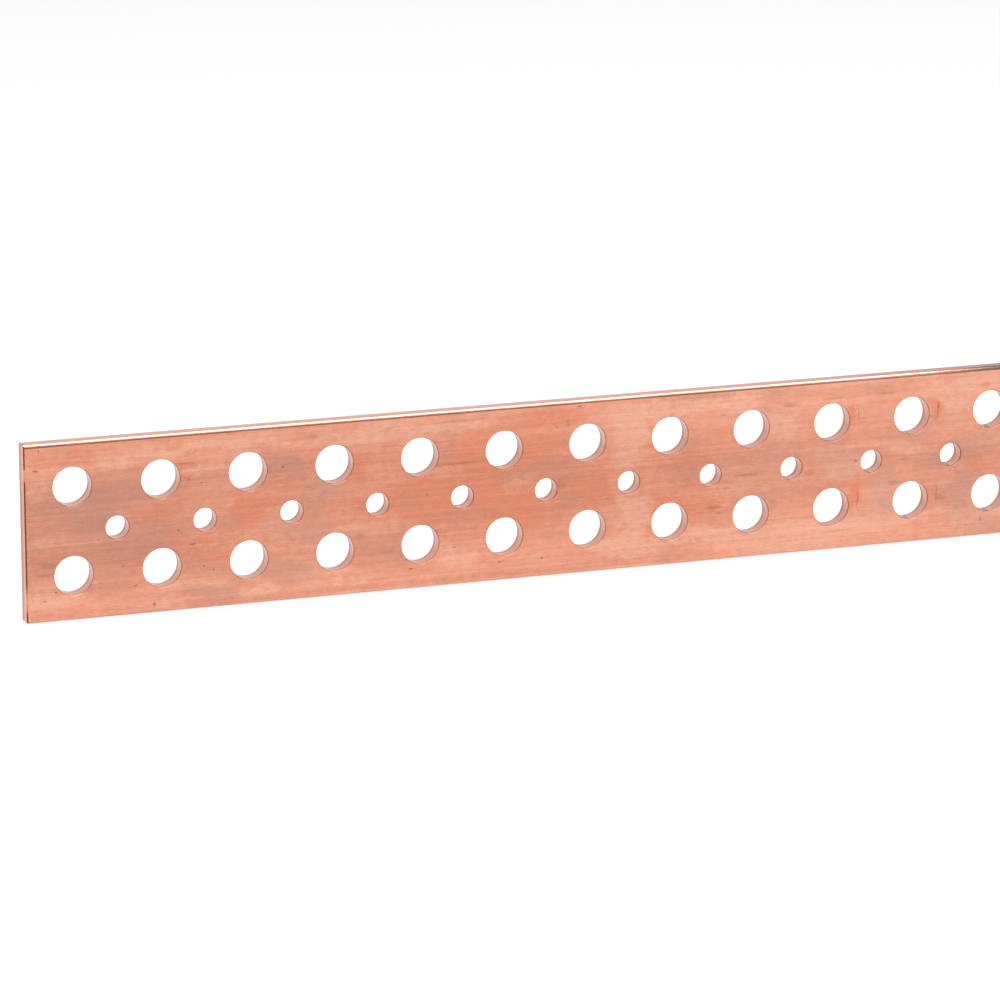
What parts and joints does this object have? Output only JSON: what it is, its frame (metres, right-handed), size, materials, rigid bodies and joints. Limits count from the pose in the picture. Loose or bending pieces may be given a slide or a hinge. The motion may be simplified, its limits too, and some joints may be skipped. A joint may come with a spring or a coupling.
{
  "type": "rack grounding busbar",
  "caption": "Flat copper earth bar for a rack: rounded long edges, two rows of large bolt holes and a middle row of small ones set half a pitch over.",
  "frame": {"origin": "middle of the lower long edge: centre of the bounding box in X and Y, lowest point in Z", "axes": "+X along the bar, +Y through its thickness towards the back face, +Z across its width, upwards as fixed; the punched front face looks towards -Y"},
  "size_m": [0.402, 0.005, 0.05],
  "materials": {
    "copper": "bare hard-drawn copper, fine lengthwise drawing lines, light tarnish"
  },
  "bodies": {
    "root": {"busbar": "copper"}
  },
  "joints": []
}
